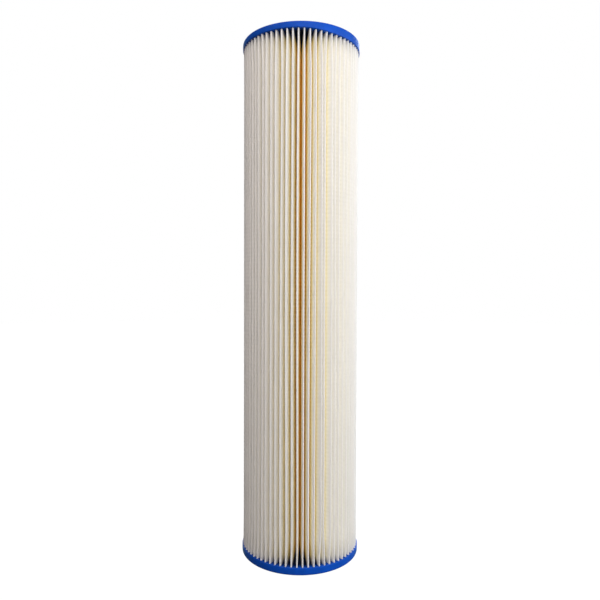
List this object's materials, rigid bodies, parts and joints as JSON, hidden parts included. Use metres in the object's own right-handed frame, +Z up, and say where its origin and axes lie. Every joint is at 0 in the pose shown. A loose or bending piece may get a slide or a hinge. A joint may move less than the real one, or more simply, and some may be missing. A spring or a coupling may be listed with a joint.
{
  "type": "filter cartridge",
  "caption": "Pleated filter cartridge: a tall ring of cream pleated paper media round a windowed core, cast at each end into a blue plastisol cap with a central bore.",
  "frame": {"origin": "centre of the lower end cap's outer face, where the cartridge stands", "axes": "+Z up along the cartridge's axis, +Y towards the media's glued seam"},
  "size_m": [0.117, 0.117, 0.508],
  "materials": {
    "cap_plastisol": "satin",
    "media_paper": "matte",
    "seam_adhesive": "gloss",
    "core_plastic": "satin"
  },
  "bodies": {
    "root": {"end_cap_bottom": "cap_plastisol", "end_cap_top": "cap_plastisol", "pleated_media": "media_paper", "media_seam_bead": "seam_adhesive", "core_lower": "core_plastic", "core_upper": "core_plastic"}
  },
  "joints": []
}
